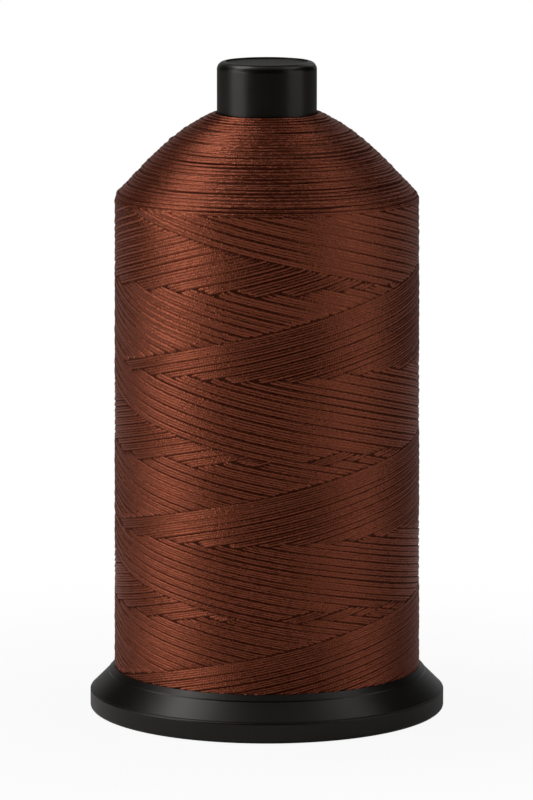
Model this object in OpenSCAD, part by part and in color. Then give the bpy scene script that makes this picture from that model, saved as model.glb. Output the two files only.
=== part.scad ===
// Waxed thread spool.
// A hollow plastic barrel stands in a wide two-part foot and carries one long
// waxed thread. A plug closes the barrel at the top, and a sleeve inside it
// takes the pin of a thread stand from below.
// Origin: middle of the foot's underside. +Z runs up the barrel. Millimetres.

/* [Foot plate] */
// Outside diameter of the rim that the spool stands on
foot_d = 92.5; // [88:0.5:100]
// Height of the rim, up to the seam under the flange
rim_h = 5.6; // [5:0.1:8]
// Radial thickness of the rim
rim_wall = 3.4; // [2.8:0.1:4]
// Width of the flat round along the rim's lower edge
rim_round_w = 2.4; // [1:0.1:2.4]
// Height of the flat round along the rim's lower edge
rim_round_h = 1.2; // [0.6:0.1:2]
// Small round along the rim's upper edge
rim_top_round = 0.45; // [0.1:0.05:0.6]
// Height of the web's underside above the ground
web_z = 2.2; // [1.6:0.1:2.5]
// Thickness of the web
web_t = 2; // [1.6:0.1:2.3]
// Number of ribs under the web
rib_count = 8; // [4:1:12]
// Thickness of a rib
rib_t = 1.6; // [1:0.1:2.4]
// Height of the ribs' lower edges above the ground
rib_z = 0.8; // [0.4:0.1:1.2]
// Wall of the hub round the sleeve's foot
hub_wall = 2; // [1.4:0.1:2.6]
// Height of the hub above the web
hub_h = 7; // [4:0.5:12]
// Thickness of the ledge that the sleeve stands on
ledge_t = 1; // [0.6:0.1:1.4]
// Room round the pin where it enters the ledge
entry_room = 0.7; // [0.4:0.1:0.8]

/* [Flange] */
// Height of the flange's seat above the seam
flange_h = 6.1; // [4.8:0.1:8]
// Width of the cone, from the flange's edge in to the flat seat
cone_w = 5.65; // [4.6:0.05:8]
// Wall of the flange
flange_wall = 2.2; // [1.6:0.1:2.6]
// How far the flange's edge stays inside the rim
seam_step = 0.45; // [0.1:0.05:0.8]
// Height of the open groove along the seam
seam_gap = 0.05; // [0.05:0.05:0.4]
// Depth of the open groove along the seam
seam_depth = 0.8; // [0.4:0.1:1.2]
// Straight height of the flange's edge above the groove
edge_h = 0.1; // [0.1:0.05:1]
// Round between the flange's edge and its cone
edge_round = 0.15; // [0.1:0.05:0.2]
// Width of the raised band under the seat, down the cone
band_w = 1.8; // [1:0.05:3]
// Width of the bevel that ends the raised band
bevel_w = 0.35; // [0.3:0.05:0.8]
// Height that the raised band stands out of the cone
band_out = 0.15; // [0.05:0.01:0.18]
// Thickness of the lip that drops inside the rim
lip_t = 1.6; // [1:0.1:2.4]
// Wall of the collar round the barrel's foot
collar_wall = 2.2; // [1.6:0.1:3]

/* [Barrel] */
// Height of the whole spool
spool_h = 169.8; // [162:0.1:185]
// Outside diameter of the barrel
barrel_d = 25.8; // [25:0.1:28]
// Wall of the barrel
barrel_wall = 2.9; // [2.6:0.1:3.2]
// Wall of the barrel's lip round the plug
lip_wall = 2.25; // [2.1:0.05:2.5]
// Round along the barrel's upper edge
barrel_round = 2; // [0.8:0.1:2]

/* [Top plug] */
// Thickness of the plug's face
plug_t = 2.6; // [1.8:0.1:3.4]
// How far the face lies below the barrel's edge
plug_drop = 0.35; // [0.1:0.05:0.8]
// Depth of the shallow dish in the face
dish_h = 0.25; // [0.1:0.05:0.5]
// Depth of the plug's skirt
skirt_h = 10; // [6:0.5:16]
// Thickness of the skirt
skirt_t = 1.4; // [1:0.1:1.8]
// Depth of the boss that holds the sleeve's head
boss_h = 8; // [5:0.5:12]
// Wall of the boss
boss_wall = 1.4; // [1:0.1:1.8]

/* [Spindle sleeve] */
// Bore for the pin of the thread stand
pin_bore_d = 9; // [8:0.1:9.4]
// Wall of the sleeve
sleeve_wall = 1.5; // [1.2:0.1:1.8]

/* [Thread] */
// Thickness of the waxed thread
thread_d = 0.75; // [0.6:0.05:0.9]
// How far the thread stays inside the edge of its seat
seat_margin = 0.2; // [0.1:0.05:1]
// How far the straight side leans in, from the flange to the shoulder
side_taper = 0.5; // [0.2:0.1:1.5]
// Height of the thread's straight side above the flange
side_h = 122.3; // [110:0.1:126]
// Height of the rounded shoulder above the straight side
shoulder_h = 22.6; // [20:0.2:24]
// Radius of the shoulder's curve in section
shoulder_r = 65; // [50:1:100]
// Loops in the whole outer winding
loops = 24; // [20:1:24]
// Passes up and down the side
passes = 7; // [3:2:7]
// Loops in one pass
pass_loops = 2.375; // [1.875, 2.125, 2.375]
// Room between two strands where they cross
cross_gap = 0.5; // [0.45:0.05:0.8]
// Height from the passes' upper turns to the shoulder's edge
turn_drop = 3.5; // [3:0.5:6]

/* [Fits] */
// Room round each piece that slides into another
fit = 0.05; // [0.02:0.01:0.08]
// Room past the end of each piece that stops short of another
end_play = 0.2; // [0.1:0.05:0.3]
// Room between the winding and what it lies on
thread_room = 0.1; // [0.05:0.05:0.3]

/* [Hidden] */
$fn = 64;

PLASTIC = [0.15, 0.14, 0.13];
SLEEVE = [0.30, 0.29, 0.28];
THREAD = [0.33, 0.18, 0.11];
CORE = [0.24, 0.13, 0.08];
// Overlap of shapes that are joined into one piece
JOIN = 0.3;

// Sleeve, hub and web
pin_r = pin_bore_d / 2;
sleeve_r = pin_r + sleeve_wall;
entry_r = pin_r + entry_room;
hub_in = sleeve_r + fit;
web_top = web_z + web_t;
sleeve_foot = web_z + ledge_t;

// Rim and flange
foot_r = foot_d / 2;
rim_in = foot_r - rim_wall;
seat_z = rim_h + flange_h;
edge_r = foot_r - seam_step;
seat_r = edge_r - cone_w;
groove_top = rim_h + seam_gap;
edge_top = groove_top + edge_h;
cone_angle = atan2(seat_z - edge_top, edge_r - seat_r);
cone_out = [sin(cone_angle), cos(cone_angle)];
cone_down = [cos(cone_angle), -sin(cone_angle)];
lip_out = rim_in - fit;
lip_in = lip_out - lip_t;
lip_foot = web_top + end_play;

// Barrel and plug
barrel_r = barrel_d / 2;
barrel_in = barrel_r - barrel_wall;
lip_r = barrel_r - lip_wall;
plug_r = lip_r - fit;
plug_top = spool_h - plug_drop;
plug_seat = plug_top - plug_t;
sleeve_head = plug_seat - end_play;

// Shoulder of the thread: an arc from the side's edge to the barrel
side_top = seat_z + side_h;
foot_pack_r = seat_r - seat_margin;
edge_pack_r = foot_pack_r - side_taper;
chord = [barrel_r - edge_pack_r, shoulder_h];
chord_square = [-chord[1], chord[0]] / norm(chord);
chord_drop = sqrt(pow(shoulder_r, 2) - pow(norm(chord) / 2, 2));
arc_c = [edge_pack_r, side_top] + chord / 2 + chord_square * chord_drop;

// Outer winding: how deep its strands lie. A ring is drawn every RING_STEP
// degrees, and the straight runs between the rings sag inside the circle.
RING_STEP = 15;
SIDES = 6;
sag = edge_pack_r * (1 - cos(RING_STEP / 2));
lay_over = thread_d / 2;
lay_under = lay_over + thread_d + cross_gap;
core_depth = lay_under + thread_d / 2 + sag + thread_room;

// Outer winding: angles in degrees of winding, rise in millimetres a degree.
// A turn takes SOFT degrees each way, and the climb settles in SETTLE.
SOFT = 30;
SETTLE = 20;
bend_r = 1.1 * thread_d;
tail = thread_room + thread_d + bend_r;
wind_low = seat_z + tail;
pass_rise = side_top - turn_drop - wind_low;
pass_angle = 360 * pass_loops;
side_angle = passes * pass_angle;
wind_angle = 360 * loops;
lead = pass_rise / (pass_angle - SOFT);
side_run = side_top - wind_low;
last_r = barrel_r + tail;
arc_start = acos((edge_pack_r - arc_c[0]) / shoulder_r);
arc_end = acos((last_r - arc_c[0]) / (shoulder_r - lay_over));
arc_run = (arc_end - arc_start) * PI / 180 * shoulder_r;
climb_start = lead * (pass_angle - SOFT / 2);
climb_run = side_run + arc_run - climb_start;
climb = (climb_run - lead * SETTLE) / (wind_angle - side_angle - SETTLE);

// Points along an arc round c, from angle a0 to a1 in n steps
function arc(c, r, a0, a1, n) =
    [for (i = [0 : n]) let (a = a0 + (a1 - a0) * i / n) c + r * [cos(a), sin(a)]];

// Point at radius r, angle a and height z
function polar(r, a, z) = [r * cos(a), r * sin(a), z];

// Smooth step from 0 to 1
function ease(t) = let (u = min(1, max(0, t))) u * u * (3 - 2 * u);

function sum(list) = list * [for (i = list) 1];
function unit(v) = v / norm(v);

// The part of v that is square to t, one unit long
function square_to(v, t) = unit(v - (v * t) * t);

// Radius over the thread on its straight side, at height z
function side_r(z) = foot_pack_r + (edge_pack_r - foot_pack_r) * (z - seat_z) / side_h;

// Radius and height at the distance s up the side and over the shoulder,
// inset from the outside of the thread
function section(s, inset) =
    let (z = wind_low + s,
         phi = arc_start + (s - side_run) / shoulder_r * 180 / PI)
    s < side_run ? [side_r(z) - inset, z] :
    arc_c + (shoulder_r - inset) * [cos(phi), sin(phi)];

// Degrees of steady rise in a pass, u degrees after its lower turn. Its turns
// are soft, but the last pass runs on over the shoulder.
function rise(u, last) =
    u < SOFT ? u * u / (2 * SOFT) :
    last || u < pass_angle - SOFT ? u - SOFT / 2 :
    pass_angle - SOFT - pow(pass_angle - u, 2) / (2 * SOFT);

// Distance along the section after a degrees of winding
function travel(a) =
    let (b = a - side_angle,
         pair = 2 * pass_angle,
         u = abs(a - pair * round(a / pair)))
    b > 0 ? climb_start + climb * b + (lead - climb) * SETTLE * (1 - exp(-b / SETTLE)) :
    lead * rise(u, b > -pass_angle);

// Rising passes lie under falling ones and change over at the turns.
function inset(a) =
    lay_under + (lay_over - lay_under) * sum([for (k = [1 : passes])
        (k % 2 == 1 ? 1 : -1) * ease((a - k * pass_angle + SOFT) / (2 * SOFT))]);

// Centre of the strand after a degrees of winding
function strand(a) = let (p = section(travel(a), inset(a))) polar(p[0], a, p[1]);

// The strand stands on the flange, bends into its first loop, winds up and
// down the side, climbs the shoulder and bends in to the barrel.
start_r = section(0, lay_under)[0];
end_z = section(climb_start + climb_run, lay_over)[1];
start_bend = arc([bend_r, wind_low - bend_r], bend_r, 180, 90, 3);
end_bend = arc([last_r - bend_r, 0], bend_r, 0, 90, 3);
strand_path = concat(
    [[start_r, 0, seat_z + thread_room]],
    [for (p = start_bend) [start_r, p[0], p[1]]],
    [for (a = [RING_STEP : RING_STEP : wind_angle - RING_STEP]) strand(a)],
    [for (p = end_bend) [p[0], p[1], end_z]],
    [[last_r - bend_r - thread_d, bend_r, end_z]]);

// Least distance between two straight runs of the path, measured on points
FINE = 8;
function run_points(i) =
    [for (k = [0 : FINE]) strand_path[i] + (strand_path[i + 1] - strand_path[i]) * k / FINE];
function run_gap(p, q) = min([for (a = p) min([for (b = q) norm(a - b)])]);

// Least gap of the strand to itself, between runs at least APART runs away
APART = 8;
function least_gap() =
    let (runs = len(strand_path) - 1,
         reach = edge_pack_r * RING_STEP * PI / 180 + 2 * thread_d,
         middle = [for (i = [0 : runs - 1]) (strand_path[i] + strand_path[i + 1]) / 2],
         points = [for (i = [0 : runs - 1]) run_points(i)])
    min([for (i = [0 : runs - 1 - APART]) for (j = [i + APART : runs - 1])
        if (norm(middle[i] - middle[j]) < reach) run_gap(points[i], points[j])]) - thread_d;

strand_length =
    sum([for (i = [1 : len(strand_path) - 1]) norm(strand_path[i] - strand_path[i - 1])]);

// A closed tube along a path
module tube(path, r) {
    n = len(path);
    t = [for (i = [0 : n - 1]) unit(path[min(i + 1, n - 1)] - path[max(i - 1, 0)])];
    u = [for (i = 0, v = square_to([1, 0, 0], t[0]);
              i < n;
              i = i + 1, v = square_to(v, t[min(i, n - 1)])) v];
    rings = [for (i = [0 : n - 1]) for (j = [0 : SIDES - 1])
        let (q = 360 * (j + 0.5) / SIDES)
        path[i] + r * (cos(q) * u[i] + sin(q) * cross(t[i], u[i]))];
    walls = [for (i = [0 : n - 2]) for (j = [0 : SIDES - 1])
        let (a = i * SIDES + j, b = i * SIDES + (j + 1) % SIDES)
        each [[a, a + SIDES, b], [b, a + SIDES, b + SIDES]]];
    first = [for (j = [1 : SIDES - 2]) [0, j, j + 1]];
    last = [for (j = [1 : SIDES - 2]) (n - 1) * SIDES * [1, 1, 1] + [0, j + 1, j]];
    polyhedron(rings, concat(walls, first, last));
}

// Lower half of the foot: rim, web, ribs and the hub for the sleeve
module foot_plate() {
    low = [foot_r - rim_round_w, rim_round_h];
    rim = concat(
        [[rim_in, 0]],
        [for (p = arc([0, 0], 1, -90, 0, 6)) low + [rim_round_w * p[0], rim_round_h * p[1]]],
        arc([foot_r - rim_top_round, rim_h - rim_top_round], rim_top_round, 0, 90, 4),
        [[rim_in, rim_h]]);
    color(PLASTIC) {
        rotate_extrude() {
            polygon(rim);
            translate([hub_in, web_z]) square([rim_in + JOIN - hub_in, web_t]);
            translate([hub_in, rib_z]) square([hub_wall, web_top + hub_h - rib_z]);
            translate([entry_r, web_z]) square([hub_in + JOIN - entry_r, ledge_t]);
        }
        for (i = [0 : rib_count - 1]) rotate(360 * i / rib_count) {
            translate([hub_in + hub_wall / 2, -rib_t / 2, rib_z]) {
                cube([rim_in + JOIN - hub_in - hub_wall / 2, rib_t, web_z + JOIN - rib_z]);
            }
        }
    }
}

// Upper half of the foot: cone, seat for the thread, lip and collar
module base_flange() {
    // The cone's face with its raised band, and its inner face one wall below
    band_foot = [seat_r, seat_z] + band_w * cone_down;
    bevel_foot = band_foot + bevel_w * cone_down - band_out * cone_out;
    edge = [edge_r, edge_top];
    turn = 90 - cone_angle;
    edge_c = edge - edge_round * [1, tan(turn / 2)];
    inner = edge - flange_wall * cone_out;
    slope = tan(cone_angle);
    ceiling = seat_z - flange_wall;
    shell = concat(
        [[lip_in, lip_foot], [lip_out, lip_foot], [lip_out, rim_h]],
        [[edge_r - seam_depth, rim_h], [edge_r - seam_depth, groove_top]],
        [[edge_r, groove_top]],
        arc(edge_c, edge_round, 0, turn, 4),
        [bevel_foot, band_foot],
        [[seat_r, seat_z], [barrel_r + fit, seat_z], [barrel_r + fit, lip_foot]],
        [[barrel_r + fit + collar_wall, lip_foot], [barrel_r + fit + collar_wall, ceiling]],
        [[inner[0] - (ceiling - inner[1]) / slope, ceiling]],
        [[lip_in, inner[1] + (inner[0] - lip_in) * slope]]);
    color(PLASTIC) rotate_extrude() polygon(shell);
}

// Hollow barrel, with a rounded lip and a seat for the plug
module barrel_tube() {
    wall = concat(
        [[barrel_in, web_top], [barrel_r, web_top]],
        arc([barrel_r - barrel_round, spool_h - barrel_round], barrel_round, 0, 90, 8),
        [[lip_r, spool_h], [lip_r, plug_seat], [barrel_in, plug_seat]]);
    color(PLASTIC) rotate_extrude() polygon(wall);
}

// Plug that closes the barrel, with a shallow dish in its face
module top_plug() {
    dish_r = (plug_r * plug_r + dish_h * dish_h) / (2 * dish_h);
    dish_angle = asin(plug_r / dish_r);
    face = concat(
        [[0, plug_seat], [plug_r, plug_seat]],
        arc([0, plug_top - dish_h + dish_r], dish_r, -90 + dish_angle, -90, 6));
    skirt_r = barrel_in - fit - skirt_t;
    color(PLASTIC) rotate_extrude() {
        polygon(face);
        translate([skirt_r, plug_seat - skirt_h]) square([skirt_t, skirt_h + JOIN]);
        translate([hub_in, plug_seat - boss_h]) square([boss_wall, boss_h + JOIN]);
    }
}

// Sleeve that turns on the pin of a thread stand
module spindle_sleeve() {
    color(SLEEVE) translate([0, 0, sleeve_foot]) difference() {
        cylinder(h = sleeve_head - sleeve_foot, r = sleeve_r);
        translate([0, 0, -JOIN]) cylinder(h = sleeve_head - sleeve_foot + 2 * JOIN, r = pin_r);
    }
}

// Inner layers of the thread, as one smooth body under the outer winding
module thread_core() {
    bore = barrel_r + thread_room;
    core_r = shoulder_r - core_depth;
    edge = acos((edge_pack_r - core_depth - arc_c[0]) / core_r);
    top = acos((bore - arc_c[0]) / core_r);
    body = concat(
        [[bore, seat_z], [side_r(seat_z) - core_depth, seat_z]],
        arc(arc_c, core_r, edge, top, 10));
    color(CORE) rotate_extrude() polygon(body);
}

// Outer layer: one unbroken strand, wound up and down and over the shoulder
module thread_outer_turns() {
    echo(least_gap_mm = least_gap(), loops = loops, strand_length_m = strand_length / 1000);
    color(THREAD) tube(strand_path, thread_d / 2);
}

foot_plate();
base_flange();
barrel_tube();
top_plug();
spindle_sleeve();
thread_core();
thread_outer_turns();
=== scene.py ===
# %% [markdown]
# # A spool of waxed thread
#
# A leatherworker's spool is a black plastic foot and barrel with a fat package of waxed thread wound on it.
# The plastic comes ready made from the CAD model. This lesson dresses it: it lights it, gives the plastic
# its satin, and lays the thread strand by strand, the way the winding machine did.
#
# Everything here is in metres. The thread's own sizes are easier to think about in millimetres, so the
# winding cells work in millimetres and the last step before each mesh turns them into metres.

# %% Load the finished frame
import math

import bpy
import numpy as np
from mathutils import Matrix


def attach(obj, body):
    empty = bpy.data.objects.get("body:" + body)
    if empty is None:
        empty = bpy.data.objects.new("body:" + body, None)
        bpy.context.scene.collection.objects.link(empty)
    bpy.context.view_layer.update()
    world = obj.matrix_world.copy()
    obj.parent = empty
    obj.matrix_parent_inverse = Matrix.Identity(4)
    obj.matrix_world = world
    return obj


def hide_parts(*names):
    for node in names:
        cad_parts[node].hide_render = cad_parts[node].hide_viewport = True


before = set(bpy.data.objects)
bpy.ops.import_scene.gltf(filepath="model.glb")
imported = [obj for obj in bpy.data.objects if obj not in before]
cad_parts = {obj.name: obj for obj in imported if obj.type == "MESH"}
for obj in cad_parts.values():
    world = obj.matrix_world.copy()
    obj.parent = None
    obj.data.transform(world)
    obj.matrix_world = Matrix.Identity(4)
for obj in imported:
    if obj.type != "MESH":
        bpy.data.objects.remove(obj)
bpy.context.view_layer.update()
MM = 0.001
rng = np.random.default_rng(seed=7)
print("nodes:", sorted(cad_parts))

# %% [markdown]
# ## The camera
#
# A spool shows best from far away and a little above: far enough that the sides of the package look
# parallel, high enough that the top of the barrel shows as a thin ellipse. So the camera gets a long lens
# and a small downward tilt.

# %% Camera
camera_away = 1.400
camera_height = 0.3073
camera_tilt = math.radians(9.17)
camera = bpy.data.objects.new("camera", bpy.data.cameras.new("camera"))
camera.data.sensor_width = 36.0
camera.data.lens = 245.4
camera.data.shift_x = -0.0005
camera.data.shift_y = 0.0005
camera.data.clip_start = 0.05
camera.data.clip_end = 50.0
camera.location = (0.0, -camera_away, camera_height)
camera.rotation_euler = (math.pi / 2 - camera_tilt, 0.0, 0.0)
bpy.context.collection.objects.link(camera)
bpy.context.scene.camera = camera
bpy.context.scene.view_settings.view_transform = "Standard"
print("camera looks down by", round(math.degrees(camera_tilt), 2), "degrees")

# %% [markdown]
# ## Small tools for building node materials
#
# A procedural material is a handful of nodes wired together. These helpers keep the wiring short, so each
# material below reads as a list of what it does.

# %% Node helpers
def new_material(name):
    """An empty node material: returns it, its node tree, and its Principled shader."""
    material = bpy.data.materials.new(name)
    material.use_nodes = True
    return material, material.node_tree, material.node_tree.nodes["Principled BSDF"]


def add(tree, kind, inputs=(), **settings):
    """Adds one node, sets its settings, and wires or sets its inputs from (socket, value) pairs."""
    node = tree.nodes.new(kind)
    for key, value in settings.items():
        setattr(node, key, value)
    for socket, value in inputs:
        if isinstance(value, bpy.types.NodeSocket):
            tree.links.new(value, node.inputs[socket])
        else:
            node.inputs[socket].default_value = value
    return node


def maths(tree, what, a, b=0.0):
    """One Math node: what(a, b)."""
    return add(tree, "ShaderNodeMath", [(0, a), (1, b)], operation=what).outputs[0]


def stretch(tree, value, old, new, how="LINEAR"):
    """Moves a value from its old range to a new one, straight or along a smooth step."""
    ranges = [("From Min", old[0]), ("From Max", old[1]), ("To Min", new[0]), ("To Max", new[1])]
    return add(
        tree, "ShaderNodeMapRange", [("Value", value), *ranges], interpolation_type=how
    ).outputs["Result"]


def noise(tree, place, scale, detail):
    """Smooth random clouds, about 0.5 on average. A bigger scale makes them finer."""
    return add(
        tree, "ShaderNodeTexNoise", [("Vector", place), ("Scale", scale), ("Detail", detail)]
    ).outputs["Fac"]


def object_place(tree):
    """Where a point lies on the object itself, in metres."""
    return add(tree, "ShaderNodeTexCoord").outputs["Object"]


# %% [markdown]
# ## Light
#
# Black plastic and dark thread are shaped by what they reflect, more than by how much light falls on them.
# Soft boxes stand round both sides, from nearly level with the spool to high up behind it: strong ones on
# the left and weaker ones on the right. Together they leave one soft upright band on each side of everything
# round, and the dark room in front leaves the middle deep. A dim pale wall far behind gives the edges a thin
# rim of light. The camera itself sees the world as plain white.

# %% Soft boxes
aim_height = 0.08


def soft_box(name, side_angle, up_angle, brightness, width=0.32, tall=0.4, distance=0.95):
    """A soft box facing the spool. side_angle is 0 in front and 90 on the right, up_angle is its height."""
    lamp = bpy.data.lights.new(name, "AREA")
    lamp.shape = "RECTANGLE"
    lamp.size, lamp.size_y = width, tall
    lamp.energy = math.pi * width * tall * brightness
    lamp_object = bpy.data.objects.new(name, lamp)
    side, up = math.radians(side_angle), math.radians(up_angle)
    flat = distance * math.cos(up)
    height = aim_height + distance * math.sin(up)
    lamp_object.location = (flat * math.sin(side), -flat * math.cos(side), height)
    lamp_object.rotation_euler = (math.pi / 2 - up, 0.0, side)
    bpy.context.collection.objects.link(lamp_object)


soft_box("left_front", -60, 10, 2.11)
soft_box("left_side", -80, 10, 2.05)
soft_box("left_middle", -80, 35, 2.00)
soft_box("left_high", -100, 60, 3.56)
soft_box("left_back", -125, 60, 1.85)
soft_box("right_front", 60, 10, 0.78)
soft_box("right_middle", 60, 35, 0.66)
soft_box("right_side", 80, 10, 0.78)
soft_box("right_high", 100, 60, 1.49)
soft_box("right_back", 150, 35, 0.44)
soft_box("overhead", 0, 89, 0.34, width=0.6, tall=0.6)

# %% World
wall_brightness = 0.27
wall_spread = (0.70, 0.98)  # how squarely a ray must point backwards to meet the wall: its edge, its middle

world = bpy.data.worlds.new("studio")
bpy.context.scene.world = world
world.use_nodes = True
sky = world.node_tree
toward = add(sky, "ShaderNodeTexCoord").outputs["Generated"]
behind = add(sky, "ShaderNodeSeparateXYZ", [(0, toward)]).outputs["Y"]
wall = stretch(sky, behind, wall_spread, (0.0, wall_brightness), "SMOOTHSTEP")
seen = add(sky, "ShaderNodeLightPath").outputs["Is Camera Ray"]
fill = sky.nodes["Background"]
fill.inputs["Color"].default_value = (1.0, 1.0, 1.0, 1.0)
sky.links.new(maths(sky, "MAXIMUM", seen, wall), fill.inputs["Strength"])
print("the wall behind shines at", wall_brightness)

# %% [markdown]
# ## The floor
#
# The floor is pale paper. Close to the spool a small part of it is real paper, so that it holds a shadow.
# Further out it fades into the plain white of the background. So its material is a mix of paper and white
# light, and the share of white grows with the distance. Glossy rays see a trace of that white too.

# %% Floor
floor_half = 6.0
fade_reach = (0.05, 0.20)  # metres from the middle: where the fade begins and ends
near_white = 0.93  # share of plain white close to the spool
glossy_white = 0.05  # share of plain white that glossy rays see

floor_corners = [(x * floor_half, y * floor_half, 0) for x, y in ((-1, -1), (1, -1), (1, 1), (-1, 1))]
floor_mesh = bpy.data.meshes.new("floor")
floor_mesh.from_pydata(floor_corners, [], [(0, 1, 2, 3)])
floor = bpy.data.objects.new("floor", floor_mesh)
bpy.context.collection.objects.link(floor)
paper, tree, shader = new_material("pale_paper")
shader.inputs["Base Color"].default_value = (0.86, 0.86, 0.86, 1.0)
shader.inputs["Roughness"].default_value = 0.9
shader.inputs["Specular IOR Level"].default_value = 0.0
path = add(tree, "ShaderNodeLightPath")
away = add(tree, "ShaderNodeVectorMath", [(0, object_place(tree))], operation="LENGTH").outputs["Value"]
fade = stretch(tree, away, fade_reach, (near_white, 1.0), "SMOOTHSTEP")
seen = maths(tree, "MULTIPLY", path.outputs["Is Camera Ray"], fade)
shine = maths(tree, "MULTIPLY", path.outputs["Is Glossy Ray"], glossy_white)
white = add(tree, "ShaderNodeEmission", [("Color", (1.0, 1.0, 1.0, 1.0)), ("Strength", 1.0)])
share = maths(tree, "ADD", seen, shine)
mixed = add(tree, "ShaderNodeMixShader", [(0, share), (1, shader.outputs[0]), (2, white.outputs[0])])
tree.links.new(mixed.outputs[0], tree.nodes["Material Output"].inputs["Surface"])
floor_mesh.materials.append(paper)
print("floor:", 2 * floor_half, "m wide")

# %% [markdown]
# ## Satin black plastic
#
# The foot, the flange, the barrel and its plug are moulded plastic. Moulded black plastic is a hair above
# black, it has the very fine grain of the mould, and its gloss is a little uneven where it has been handled.
# The grain is a fine noise fed to a Bump node. The uneven gloss is a slow noise that moves the roughness.

# %% Plastic materials
noise_span = (0.3, 0.7)  # nearly all of a noise lies between these
smoother, rougher = 0.03, 0.04  # how far the gloss drifts either way
grain_shade = (0.85, 1.15)
grain_height, grain_strength = 0.00003, 0.25


def satin_plastic(name, tint, roughness):
    """Black moulded plastic: fine mould grain, and a gloss that drifts slowly over the surface."""
    material, tree, shader = new_material(name)
    place = object_place(tree)
    drift = noise(tree, place, scale=60.0, detail=3.0)
    speck = noise(tree, place, scale=2600.0, detail=2.0)
    gloss = stretch(tree, drift, noise_span, (roughness - smoother, roughness + rougher))
    tree.links.new(gloss, shader.inputs["Roughness"])
    shade = stretch(tree, speck, noise_span, grain_shade)
    tinted = add(tree, "ShaderNodeVectorMath", [(0, tint), ("Scale", shade)], operation="SCALE")
    tree.links.new(tinted.outputs["Vector"], shader.inputs["Base Color"])
    grain = [("Height", speck), ("Strength", grain_strength), ("Distance", grain_height)]
    bump = add(tree, "ShaderNodeBump", grain)
    tree.links.new(bump.outputs["Normal"], shader.inputs["Normal"])
    shader.inputs["Specular Tint"].default_value = (1.0, 0.955, 0.91, 1.0)
    return material


plastic_tint = (0.0060, 0.0042, 0.0026)
finishes = {
    "foot_plate": satin_plastic("foot_satin", plastic_tint, 0.34),
    "base_flange": satin_plastic("flange_satin", plastic_tint, 0.32),
    "barrel_tube": satin_plastic("barrel_satin", plastic_tint, 0.32),
    "top_plug": satin_plastic("plug_satin", plastic_tint, 0.48),
    "spindle_sleeve": satin_plastic("sleeve_satin", plastic_tint, 0.45),
}
for node_name, finish in finishes.items():
    node_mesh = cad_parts[node_name].data
    for place in range(len(node_mesh.materials)):
        node_mesh.materials[place] = finish
print("plastic finishes on:", sorted(finishes))

# %% [markdown]
# ## The shape of the package
#
# The package is a straight, very slightly tapered side with a rounded shoulder on top. We describe it once,
# as a table of points up its outline, and everything wound on it asks the table where the surface is. The
# place up the outline is a length in millimetres: on the side it is simply the height, and on the shoulder
# it goes on along the curve.
#
# The shoulder is an arc of a circle through the side's upper edge and the barrel. Wound thread isn't quite
# so regular: it humps a little just past the edge, and it stands a little fuller towards the barrel.

# %% Sizes of the package
seat_height = 11.7
side_top = 134.0
foot_radius = 39.95
edge_radius = 39.45
top_height = 156.6
barrel_radius = 12.9
shoulder_radius = 65.0
hump_height, hump_place, hump_width = 0.5, 2.5, 3.0
rise_height, rise_place, rise_run = 0.5, 16.0, 10.0
print("side from", seat_height, "to", side_top, "mm, shoulder up to", top_height, "mm")

# %% Outline of the package
table_step = 0.1
below_seat = 6.0  # the table starts this far under the seat
past_barrel = 0.06  # and runs this far past the barrel, in radians
rounding = np.hanning(33)  # blends the side into the shoulder

edge_point = np.array([edge_radius, side_top])
neck_point = np.array([barrel_radius, top_height])
chord = neck_point - edge_point
across = np.array([-chord[1], chord[0]]) / np.hypot(*chord)
reach = math.sqrt(shoulder_radius**2 - (np.hypot(*chord) / 2) ** 2)
arc_centre = (edge_point + neck_point) / 2 + across * reach
start_angle, end_angle = (math.atan2(*(p - arc_centre)[::-1]) for p in (edge_point, neck_point))

side_z = np.arange(seat_height - below_seat, side_top, table_step)
side_r = foot_radius - (side_z - seat_height) * (foot_radius - edge_radius) / (side_top - seat_height)
angle = np.arange(start_angle, end_angle + past_barrel, table_step / shoulder_radius)
along_arc = (angle - start_angle) * shoulder_radius
hump = hump_height * np.exp(-(((along_arc - hump_place) / hump_width) ** 2))
fuller_radius = shoulder_radius + (hump + rise_height * np.clip((along_arc - rise_place) / rise_run, 0, 1))
arc_r = arc_centre[0] + fuller_radius * np.cos(angle)
arc_z = arc_centre[1] + fuller_radius * np.sin(angle)

rounding = rounding / rounding.sum()
outline_r = np.convolve(np.concatenate([side_r, arc_r]), rounding, "valid")
outline_z = np.convolve(np.concatenate([side_z, arc_z]), rounding, "valid")
steps = np.hypot(np.diff(outline_r), np.diff(outline_z))
outline_s = np.concatenate([[0.0], np.cumsum(steps)]) + outline_z[0]
slope_r, slope_z = np.gradient(outline_r, outline_s), np.gradient(outline_z, outline_s)
neck_s = float(np.interp(-barrel_radius, -outline_r, outline_s))
print("outline runs", round(outline_s[0], 1), "to", round(outline_s[-1], 1), "mm")
print("the barrel is met at", round(neck_s, 2), "mm")


def on_package(turn_angle, s, depth):
    """The point at an angle round the package, s up its outline and depth below it, and its normal there.

    The table gives the radius and the height at s. The outline's slope there, turned a quarter, points
    outward. The sine and the cosine of the angle then carry both round the upright axis.
    """
    r, z = np.interp(s, outline_s, outline_r), np.interp(s, outline_s, outline_z)
    out_r, out_z = np.interp(s, outline_s, slope_z), -np.interp(s, outline_s, slope_r)
    r, z = r - depth * out_r, z - depth * out_z
    sine, cosine = np.sin(turn_angle), np.cos(turn_angle)
    point = np.stack([r * sine, -r * cosine, z], axis=-1)
    normal = np.stack([out_r * sine, -out_r * cosine, out_z], axis=-1)
    return point, normal


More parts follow.
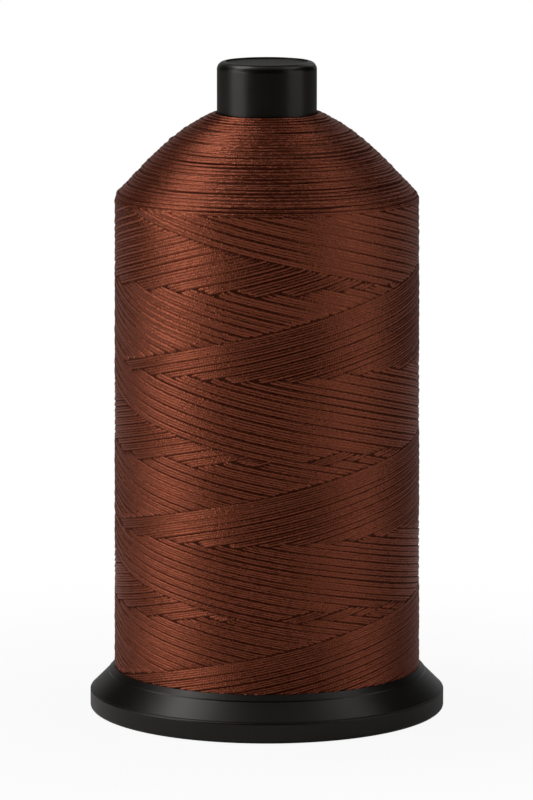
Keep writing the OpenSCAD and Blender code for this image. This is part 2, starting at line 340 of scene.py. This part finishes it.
# %% [markdown]
# ## How a cross-wound package is laid
#
# The machine guides the thread up and down while the barrel turns, so there are two families of strands:
# one climbs to the right, the other falls to the right. In each family every pass lies beside the one
# before, so the newest strand creeps round the package until it meets strands that are a whole lead older.
# That meeting line is the long bright edge that winds round the package like the stripe of a barber's pole.
#
# So for any point on the surface each family has an *age*: 0 at its newest edge, growing to 1 just across
# the edge. Where the two families cross, the younger one is on top. That single rule makes the diamonds,
# the fishbone rows and the saw-tooth rows by itself.
#
# Each family is a few numbers. Its newest edge is at height `edge` in front and climbs by `lead` a turn.
# From `start` turns on, over `span` turns, the climb grows by `extra`. Its strands `lean` off an even helix,
# and the falling ones also `hook` up on the left. `closes` is the height from which its gaps close.

# %% The two families
families = {
    "rising": dict(
        hand=1, strands=60, edge=21.74, lead=41.0, extra=10.8, start=1.55, span=0.9,
        lean=2.3, hook=0.0, closes=118.0,
    ),
    "falling": dict(
        hand=-1, strands=61, edge=29.92, lead=41.2, extra=10.9, start=0.6, span=0.8,
        lean=-1.2, hook=3.0, closes=92.0,
    ),
}
hook_sharpness = 10  # the higher, the closer the hook keeps to the far left
turn_table = np.arange(-1.5, 3.6, 0.01)


def eased(x):
    """Area under a smooth step: 0 before 0, x cubed less half its fourth power up to 1, then one for one."""
    inside = np.clip(x, 0.0, 1.0)
    return inside**3 - inside**4 / 2 + np.clip(np.asarray(x) - 1.0, 0.0, None)


def edge_height(family, turns):
    """Height of a family's newest edge at the front, after so many turns.

    That is the edge's first height, plus its lead times the turns, plus the extra climb higher up.
    """
    longer = family["extra"] * family["span"] * eased((turns - family["start"]) / family["span"])
    return family["edge"] + family["lead"] * turns + longer


def sway(family, turn_angle):
    """How far the strands lean off an even helix, in mm, at an angle round the package.

    That is the lean times the angle's sine, plus the hook times a high power of how far left it is.
    """
    on_left = np.clip(-np.sin(turn_angle), 0.0, 1.0)
    return family["lean"] * np.sin(turn_angle) + family["hook"] * on_left**hook_sharpness


def age_at(family, turn_angle, s):
    """0 at the family's newest edge, rising to 1 where that edge comes round again.

    That is the angle, in turns, less the turns that the edge needs to climb to s, without whole turns.
    """
    turns = np.interp(s - sway(family, turn_angle), edge_height(family, turn_table), turn_table)
    return (turn_angle / (2 * math.pi) - family["hand"] * turns) % 1.0


for name, family in families.items():
    print(name, "edge heights at the front:", [round(float(edge_height(family, t)), 1) for t in range(4)])

# %% [markdown]
# ## Ribbons
#
# The strands don't lie perfectly even: two, three or four sit tight together as a ribbon, then comes a thin
# dark gap. Those gaps are most of what the eye reads as "thread" from a distance. Each family gets
# twenty-two ribbons, of uneven width. First the strands are shared out as evenly as they go, then a few
# ribbons of three hand a strand over to others of three.

# %% Share the strands out in ribbons
ribbon_count = 22
handed_over = 3
gap_range = (0.36, 0.64)  # width of a gap, where a strand is 1

for family in families.values():
    sizes = np.full(ribbon_count, family["strands"] // ribbon_count)
    sizes[rng.permutation(ribbon_count)[: family["strands"] - sizes.sum()]] += 1
    swap = rng.permutation(np.flatnonzero(sizes == 3))[: 2 * handed_over]
    sizes[swap[:handed_over]] += 1
    sizes[swap[handed_over:]] -= 1
    gaps = rng.uniform(*gap_range, ribbon_count)
    start = np.concatenate([[0.0], np.cumsum(sizes + gaps)])
    ribbon = np.repeat(np.arange(ribbon_count), sizes)
    step = np.concatenate([np.arange(n) for n in sizes])
    family["ribbon"] = ribbon
    family["place"] = (step + 0.5) / sizes[ribbon]
    family["age"] = (start[ribbon] + gaps[ribbon] / 2 + step + 0.5) / start[-1]
    family["ribbon_edge"] = start / start[-1]
    family["pitch"] = 1.0 / start[-1]
    print(len(ribbon), "strands in ribbons of", sizes.tolist())

# %% [markdown]
# ## Which family is on top
#
# The rule from above, taken ribbon by ribbon. A ribbon crosses over another as a whole, so both ages are
# rounded to their ribbon's middle, and the border between the two families comes out as saw teeth. The
# rising family was laid a moment earlier than the falling one, and more so low down. So it gets a small head
# start: an age that is added to its own, for each stretch between two row limits.
#
# Two things happen where both newest edges meet on the right: the newest rising strands stay on top, and
# just before that a thin braid of rising strands runs along the row.

# %% The crossing rule
row_limits = np.array([40.4, 60.6, 81.9, 103.7])
head_start = np.array([0.232, 0.190, 0.180, 0.143, 0.033])
braid_width, braid_taper = 0.15, 0.10  # in age; it narrows as the falling strands get older
cover_age = 0.34  # on the right, rising strands up to this age cover falling ones up to this age


def ribbon_age(family, age):
    """The age of the middle of the ribbon that a point lies in."""
    edges = family["ribbon_edge"]
    middle = (edges[1:] + edges[:-1]) / 2
    return middle[np.clip(np.searchsorted(edges, age, side="right") - 1, 0, ribbon_count - 1)]


def rising_on_top(turn_angle, s):
    """True where the rising family crosses over the falling one.

    That is where the falling age is more than the rising age and the head start together, and in the braid
    and the cover.
    """
    up = ribbon_age(families["rising"], age_at(families["rising"], turn_angle, s))
    down = ribbon_age(families["falling"], age_at(families["falling"], turn_angle, s))
    late = head_start[np.digitize(s, row_limits)]
    ahead = down - up - late
    within = (ahead > -1) & (ahead < braid_width - braid_taper * down / late - 1)
    braid = (down < late) & (up > 1 - late) & within
    cover = (np.sin(turn_angle) > 0) & (np.maximum(up, down) < cover_age)
    return (ahead > 0) | braid | cover


print("head starts, from the lowest row up:", head_start.tolist())

# %% [markdown]
# ## One strand, as a mesh
#
# A strand under tension is a slightly flattened tube. Its section has five points over the top, where it is
# seen, and one below. Every strand is a stack of such sections along its path. All sections of all strands
# are worked out at once, as one big array, and then joined by faces. Where a strand has dived under the
# other family it is not needed, so faces are only made along the stretches that show, and each stretch is
# closed with a cap at both ends.
#
# The mesh also gets two things for its material: a UV map, which says how far along the strand and how far
# round it a point is, and a tone for each strand.

# %% Corners of the strands
section_angle = np.radians([0.0, 45.0, 90.0, 135.0, 180.0, 270.0])
SIDES = len(section_angle)


def strand_corners(point, normal, width, height, fullness):
    """The section's points all along many paths: an array of (strands, rings, SIDES, 3).

    A section point is the path's point, plus half the width times the cosine of its angle sideways, plus
    half the height times the sine outward. Both waves are raised to the fullness: under 1 it fills the
    section out towards a square.
    """
    section_side, section_rise = (
        np.sign(wave) * np.abs(wave) ** fullness for wave in (np.cos(section_angle), np.sin(section_angle))
    )
    along = np.gradient(point, axis=1)
    along /= np.linalg.norm(along, axis=-1, keepdims=True)
    sideways = np.cross(normal, along)
    sideways /= np.linalg.norm(sideways, axis=-1, keepdims=True)
    half_width = (np.zeros(point.shape[:2]) + width)[..., None, None] / 2
    spread = half_width * section_side[:, None] * sideways[:, :, None, :]
    rise = height / 2 * section_rise[:, None] * normal[:, :, None, :]
    return point[:, :, None, :] + spread + rise


# %% Faces of the strands
def strand_faces(shown):
    """The faces' corner numbers along the shown stretches, and each corner's way round its section.

    Between two shown rings lie SIDES faces of four corners. A cap of SIDES corners closes each stretch, at
    its beginning and its end. The way round goes from 0 to 1.
    """
    run = shown[:, :-1] & shown[:, 1:]
    blank = np.zeros((len(run), 1), bool)
    begins = np.argwhere(run & ~np.hstack([blank, run[:, :-1]]))
    ends = np.argwhere(run & ~np.hstack([run[:, 1:], blank])) + [0, 1]
    first = np.arange(shown.size).reshape(shown.shape) * SIDES
    k, after = np.arange(SIDES), np.roll(np.arange(SIDES), -1)
    a, b = first[:, :-1][run][:, None], first[:, 1:][run][:, None]
    quads = np.stack([a + k, a + after, b + after, b + k], axis=-1).reshape(-1, 4)
    caps = np.vstack([first[tuple(begins.T)][:, None] + k[::-1], first[tuple(ends.T)][:, None] + k])
    quad_round = np.tile(np.stack([k, k + 1, k + 1, k], axis=-1), (len(a), 1)) / SIDES
    cap_round = np.vstack([np.tile(k[::-1], (len(begins), 1)), np.tile(k, (len(ends), 1))]) / SIDES
    return quads, caps, np.concatenate([quad_round.ravel(), cap_round.ravel()])


# %% Strand mesh
longest_start = 50.0  # each strand's length is counted from a random start, up to this many mm


def strand_mesh(name, point, normal, width, height, shown, tone, fullness=1.0):
    """Flattened closed tubes along many paths at once.

    point and normal are (strands, rings, 3) in millimetres, width is (strands, rings) or a number, shown is
    (strands, rings) and tone is one number for each strand, or for each of its rings.
    """
    corners = strand_corners(point, normal, width, height, fullness).reshape(-1, 3) * MM
    quads, caps, way_round = strand_faces(shown)
    length = np.zeros(shown.shape)
    length[:, 1:] = np.cumsum(np.linalg.norm(np.diff(point, axis=1), axis=-1), axis=1)
    length += rng.uniform(0.0, longest_start, (len(point), 1))
    loops = np.concatenate([quads.ravel(), caps.ravel()])
    used, loops_used = np.unique(loops, return_inverse=True)

    mesh = bpy.data.meshes.new(name)
    mesh.vertices.add(len(used))
    mesh.vertices.foreach_set("co", corners[used].astype(np.float32).ravel())
    mesh.loops.add(len(loops))
    mesh.loops.foreach_set("vertex_index", loops_used.ravel().astype(np.int32))
    mesh.polygons.add(len(quads) + len(caps))
    starts = np.concatenate([np.arange(len(quads)) * 4, quads.size + np.arange(len(caps)) * SIDES])
    mesh.polygons.foreach_set("loop_start", starts.astype(np.int32))
    mesh.update(calc_edges=True)
    mesh.validate()
    mesh.shade_smooth()

    uv = np.stack([length.ravel()[loops // SIDES] * MM, way_round], axis=-1).astype(np.float32)
    mesh.uv_layers.new(name="strand").uv.foreach_set("vector", uv.ravel())
    ring_tone = np.broadcast_to(tone.reshape(len(point), -1), shown.shape).ravel()
    shade = mesh.attributes.new("tone", "FLOAT", "POINT")
    shade.data.foreach_set("value", ring_tone[used // SIDES].astype(np.float32))
    piece = bpy.data.objects.new(name, mesh)
    bpy.context.collection.objects.link(piece)
    print(name, len(quads) * 2 + len(caps) * (SIDES - 2), "triangles")
    return piece


# %% [markdown]
# ## Small irregularities
#
# Real thread is never laid quite even. A sum of a few slow waves round the package, each with its own
# random start and speed, is a smooth wander that never jumps.

# %% Wander
fastest_wave = 5  # waves a turn, at most
wave_drift = (0.7, 1.3)  # each wave's speed is off by up to this factor
wave_fading = 0.7  # the faster a wave, the smaller: its speed to this power divides it
largest_wander = 2.2  # about the largest that the sum gets


def waves(count, turn_angle, size):
    """A smooth random wander for each of count strands, about size at its largest.

    It is a sum of sines of the angle times their speeds, each divided by a power of its speed.
    """
    total = np.zeros_like(turn_angle)
    for speed in range(1, fastest_wave + 1):
        start = rng.uniform(0, 2 * math.pi, (count, 1))
        drift = rng.uniform(*wave_drift, (count, 1))
        total += np.sin(turn_angle * speed * drift + start) / speed**wave_fading
    return total * size / largest_wander


print("wander: up to", fastest_wave, "waves a turn")


# %% [markdown]
# ## Laying the side of the package
#
# Each family is one array of strands by rings. A strand's place in its family is its age; its path follows
# the family's edge, shifted by that age. Where it is on top it lies at the surface. Where it isn't, it dips
# by a little more than its thickness and slips under the other family, easing down just before the crossing.
#
# A strand is made wider than its share of the lead, so that neighbours in a ribbon overlap and no daylight
# shows between them. From one side of a ribbon to the other its strands lie higher and higher, by a little.
# Towards the shoulder the strands are made wider still, because the gaps close there. Over the side's upper
# edge they all sink, to pass under the shoulder's turns.

# %% Sizes of the side's strands
first_turn, last_turn, rings_a_turn = -0.55, 2.75, 300
thread_height, thread_fullness = 0.48, 0.82
width_share = 1.47  # a strand's width, where its share of the lead is 1
closing_share, closing_run = 0.40, 12.0  # what it gains where the gaps close, and over how many mm
surface_depth = 0.10  # from the outline down to the top of a strand that is on top
dip = 0.54
easing = np.array([1, 3, 4, 3, 1]) / 12  # a strand eases down over five rings
seen_from = 0.02  # 1 is on top and 0 is right under: a strand is made only above this
ribbon_rise, strand_rise = 0.16, 0.02
ribbon_wander, strand_wander, depth_wander = 0.10, 0.05, 0.03
into_seat, over_edge = 0.3, 2.0  # how far strands run on past the side's lower and upper end
sink_start, sink_run = 0.2, 0.8  # where they sink under the shoulder's turns, above the upper end
usual_tone, strand_tone, ribbon_tone = 0.5, 0.16, 0.10
print("strands", thread_height, "mm high,", rings_a_turn, "rings a turn")


# %% Rising and falling strands
def lay_family(family):
    """Paths, normals, widths, shown stretches and tones of all strands of one family.

    A path's angle is its age, in turns, plus or minus the turns along it. Its height is the edge's height
    after as many turns, plus the sway.
    """
    hand, ribbons, count = family["hand"], family["ribbon"], len(family["age"])
    turns = np.arange(first_turn, last_turn, 1.0 / rings_a_turn)[None, :]
    turn_angle = 2 * math.pi * (family["age"][:, None] + hand * turns)
    s = edge_height(family, turns) + sway(family, turn_angle)
    ribbon_first = np.searchsorted(ribbons, np.arange(ribbon_count))
    wander = waves(ribbon_count, turn_angle[ribbon_first], ribbon_wander)[ribbons]
    wander += waves(count, turn_angle, strand_wander)

    on_top = rising_on_top(turn_angle, s)
    if hand < 0:
        on_top = ~on_top
    top = np.apply_along_axis(np.convolve, 1, on_top.astype(float), easing, "same")
    lead_here = np.gradient(edge_height(family, turns), turns[0], axis=1)
    closing = closing_share * np.clip((s - family["closes"]) / closing_run, 0.0, 1.0)
    width = family["pitch"] * lead_here * (width_share + closing)

    tilt = (family["place"] - 0.5) * ribbon_rise + rng.normal(0, strand_rise, count)
    depth = thread_height / 2 + surface_depth + dip * (1 - top) - tilt[:, None]
    depth -= waves(count, turn_angle, depth_wander)
    depth += np.clip((s - side_top - sink_start) / sink_run, 0, 1) * dip
    point, normal = on_package(turn_angle, s + wander, depth)
    shown = (top > seen_from) & (s > seat_height - into_seat) & (s < side_top + over_edge)
    tone = rng.normal(usual_tone, strand_tone, count)
    tone += rng.normal(0, ribbon_tone, ribbon_count)[ribbons]
    return point, normal, width, shown, tone


pieces_a_family = 3
thread_pieces = []
for name, family in families.items():
    point, normal, width, shown, tone = lay_family(family)
    for part, pick in enumerate(np.array_split(np.arange(len(tone)), pieces_a_family)):
        piece = strand_mesh(
            f"{name}_strands_{part + 1}",
            point[pick],
            normal[pick],
            width[pick],
            thread_height,
            shown[pick],
            tone[pick],
            fullness=thread_fullness,
        )
        thread_pieces.append(piece)

# %% [markdown]
# ## The shoulder
#
# Over the shoulder the turns lie almost level. They are one unbroken strand: each turn lies flat for most of
# its way round and slides up to its next place at the back. Every other turn has sunk between its
# neighbours, some more than others, and each turn wanders a little.

# %% Places of the shoulder's turns
turn_step, turn_width, turn_height = 0.57, 0.82, 0.50
above_edge = 0.7  # from the side's upper edge to the first turn
least_room, last_room = 0.6, 0.42  # at the barrel, for laying the turns out and for the last one
shoulder_depth = 0.05  # from the outline down to the top of a turn
place_scatter, height_scatter = 0.04, 0.04
least_sunk, most_sunk = 0.16, 0.27  # how deep every other turn has sunk

places = np.arange(side_top + above_edge, neck_s - least_room, turn_step)
places += rng.normal(0, place_scatter, len(places))
sunk = -rng.uniform(least_sunk, most_sunk, len(places))
proud = rng.normal(0, height_scatter, len(places))
heights = np.where(np.arange(len(places)) % 2, sunk, proud)
places += (neck_s - last_room - places[-1]) * np.linspace(0, 1, len(places)) ** 2
turn_count = len(places) - 1
print(turn_count, "turns over the shoulder")

# %% Shoulder turns
shoulder_rings = 270
level_share, slide_share = 0.7, 0.3  # of each turn
turn_end = 1.15 * math.pi  # the angle where a turn ends, at the back
place_wander, height_wander, phase_wander = 0.09, 0.03, 0.9
place_fading = 0.6  # the faster a wave, the smaller, as in the wander

rings = np.arange(turn_count * shoulder_rings + 1) / shoulder_rings
part = rings % 1.0
climb = np.clip((part - level_share) / slide_share, 0, 1)
slide = np.minimum(np.floor(rings), turn_count) + climb**2 * (3 - 2 * climb)
turn_angle = 2 * math.pi * part + turn_end
order = np.arange(turn_count + 1)
s = np.interp(slide, order, places)
lift = np.interp(slide, order, heights)
for speed in range(1, fastest_wave + 1):
    bend = np.interp(slide, order, rng.normal(0, place_wander, turn_count + 1)) / speed**place_fading
    phase = np.interp(slide, order, np.cumsum(rng.uniform(-phase_wander, phase_wander, turn_count + 1)))
    s += bend * np.sin(speed * turn_angle + phase)
    swell = np.interp(slide, order, rng.normal(0, height_wander, turn_count + 1))
    lift += swell * np.sin(speed * turn_angle + 2 * phase)
point, normal = on_package(turn_angle[None], s[None], turn_height / 2 + shoulder_depth - lift[None])
tone = np.interp(slide, order, rng.normal(usual_tone, strand_tone, turn_count + 1))
all_shown = np.ones(point.shape[:2], bool)
shoulder = strand_mesh("shoulder_turns", point, normal, turn_width, turn_height, all_shown, tone)
thread_pieces.append(shoulder)

# %% [markdown]
# ## The layers underneath
#
# Under the outer strands is the bulk of the thread. Only slivers of it show, through the gaps, so it is one
# smooth turned body a little below the surface, closed round the barrel. It wears a darker, duller copy of
# the thread's finish, which is painted shade for the gaps.

# %% Inner layers
def turned(name, outline, steps=240):
    """Turns a closed outline of (radius, height) points, in mm, round the upright axis.

    A point is the radius times the sine and the cosine of the angle sideways, and the height upwards.
    """
    around = np.linspace(0, 2 * math.pi, steps, endpoint=False)[:, None]
    r, z = outline[:, 0][None], outline[:, 1][None]
    grid = np.stack([r * np.sin(around), -r * np.cos(around), z + 0 * around], axis=-1) * MM
    index = np.arange(grid.shape[0] * grid.shape[1]).reshape(grid.shape[:2])
    next_round, next_up = np.roll(index, -1, axis=0), np.roll(index, -1, axis=1)
    faces = np.stack([index, next_round, np.roll(next_round, -1, axis=1), next_up], axis=-1).reshape(-1, 4)
    mesh = bpy.data.meshes.new(name)
    mesh.from_pydata(grid.reshape(-1, 3).tolist(), [], faces.tolist())
    mesh.validate()
    mesh.shade_smooth()
    piece = bpy.data.objects.new(name, mesh)
    bpy.context.collection.objects.link(piece)
    return piece


core_depth = 0.32
core_foot = seat_height + 0.1
core_wall = barrel_radius + 0.05
bend_from, bend_to = side_top - 2, side_top - 1  # round the side's upper edge
core_end = neck_s - 1.2
rows = 40  # on the side, and as many on the shoulder
core_s = np.concatenate([np.linspace(core_foot, bend_from, rows), np.linspace(bend_to, core_end, rows)])
core_r = np.interp(core_s, outline_s, outline_r) - core_depth * np.interp(core_s, outline_s, slope_z)
core_z = np.interp(core_s, outline_s, outline_z) + core_depth * np.interp(core_s, outline_s, slope_r)
core_outline = np.stack([core_r, core_z], axis=-1)
core_outline = np.vstack([core_outline, [[core_wall, core_z[-1]], [core_wall, core_foot]]])
inner_layers = turned("inner_layers", core_outline)
print("inner layers:", len(inner_layers.data.polygons), "faces")

# %% [markdown]
# ## Waxed thread
#
# The thread is three plies twisted together, dyed a reddish chestnut and pulled through wax. So it has
# slanting ply marks along it, a soft glow in its own colour rather than a white shine, and a slightly
# different depth of colour from strand to strand. The ply marks come from the strand's own UV: one number
# runs along the strand and one round it, and a sine of their sum slants round it like a screw thread. Real
# plies are uneven, so a noise stretched along the strand breaks the sine up into flecks. Sine and flecks
# make the relief, and they also paint shade and light into the colour: darker in the ply grooves, lighter
# on the raised flecks. A bright fleck is also a little glossier.

# %% Thread material
ply_length, ply_slant = 0.00068, 1.5
fleck_length, flecks_round = 0.00080, 5.0
relief_shares = {"ply": 0.35, "fleck": 0.65}
relief_height, relief_strength = 0.00006, 0.6
# tone and patch are the dye; the ply and fleck shares paint the relief's shade and highlight into the colour
dye_and_painted_shade_shares = {"tone": 0.50, "patch": 0.50, "ply": 0.10, "fleck": 0.30}
fleck_gloss = 0.045
fleck_span = (0.35, 0.65)  # the part of the noise that is stretched to flecks between -1 and 1
colour_ends = (0.15, 0.85)  # where the darkest and the lightest colour are reached, from dye tone and painted shade together
thread_ior = 2.15  # high, because the coloured shine has to carry most of the light


def waxed_thread(name, dark, light, glow, roughness):
    """Dyed, twisted and waxed thread: ply marks from the strand UV, tone from strand to strand."""
    material, tree, shader = new_material(name)
    strand_uv = add(tree, "ShaderNodeUVMap", uv_map="strand").outputs[0]
    along, around, _ = add(tree, "ShaderNodeSeparateXYZ", [(0, strand_uv)]).outputs
    ply_along = maths(tree, "DIVIDE", along, ply_length)
    screw = maths(tree, "ADD", ply_along, maths(tree, "MULTIPLY", around, ply_slant))
    fleck_along = maths(tree, "DIVIDE", along, fleck_length)
    fleck_round = maths(tree, "MULTIPLY", around, flecks_round)
    fleck_place = add(tree, "ShaderNodeCombineXYZ", [(0, fleck_along), (1, fleck_round)]).outputs[0]
    marks = {
        "ply": maths(tree, "SINE", maths(tree, "MULTIPLY", screw, 2 * math.pi)),
        "fleck": stretch(tree, noise(tree, fleck_place, scale=1.0, detail=1.0), fleck_span, (-1.0, 1.0)),
        "patch": noise(tree, object_place(tree), scale=90.0, detail=2.0),
        "tone": add(tree, "ShaderNodeAttribute", attribute_name="tone").outputs["Fac"],
    }

    def mix(shares):
        """The sum of the marks, each times its share."""
        total, *others = [maths(tree, "MULTIPLY", marks[mark], share) for mark, share in shares.items()]
        for other in others:
            total = maths(tree, "ADD", total, other)
        return total

    relief = [("Height", mix(relief_shares)), ("Strength", relief_strength), ("Distance", relief_height)]
    bump = add(tree, "ShaderNodeBump", relief)
    tree.links.new(bump.outputs["Normal"], shader.inputs["Normal"])
    # The colour ramp: dye tone, plus painted shade in the ply grooves and painted highlight on raised flecks
    ramp = add(tree, "ShaderNodeValToRGB", [("Fac", mix(dye_and_painted_shade_shares))])
    low, high = ramp.color_ramp.elements
    low.position, low.color = colour_ends[0], (*dark, 1.0)
    high.position, high.color = colour_ends[1], (*light, 1.0)
    tree.links.new(ramp.outputs["Color"], shader.inputs["Base Color"])
    gloss = maths(tree, "SUBTRACT", roughness, maths(tree, "MULTIPLY", marks["fleck"], fleck_gloss))
    tree.links.new(gloss, shader.inputs["Roughness"])
    shader.inputs["IOR"].default_value = thread_ior
    shader.inputs["Specular IOR Level"].default_value = 1.0
    shader.inputs["Specular Tint"].default_value = (*glow, 1.0)
    return material


thread = waxed_thread(
    "waxed_chestnut",
    dark=(0.034, 0.0064, 0.0027),
    light=(0.086, 0.0168, 0.0074),
    glow=(1.0, 0.275, 0.145),
    roughness=0.31,
)
# A darker, duller copy of the thread for the inner layers: painted shade in the gaps between strands
painted_shade_thread = waxed_thread(
    "waxed_chestnut_painted_shade",
    dark=(0.020, 0.0040, 0.0017),
    light=(0.036, 0.0074, 0.0034),
    glow=(0.30, 0.09, 0.05),
    roughness=0.6,
)
for piece in thread_pieces:
    piece.data.materials.append(thread)
inner_layers.data.materials.append(painted_shade_thread)
print("thread finishes:", thread.name, "and", painted_shade_thread.name)

# %% [markdown]
# ## Put it together
#
# The strands stand for the CAD model's outer turns, and the inner layers for its core. Everything rides on
# the spool's one body.

# %% Join the frame
for piece in thread_pieces:
    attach(piece, "root")
    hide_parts("thread_outer_turns")
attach(inner_layers, "root")
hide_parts("thread_core")
print(len(thread_pieces) + 1, "pieces joined")
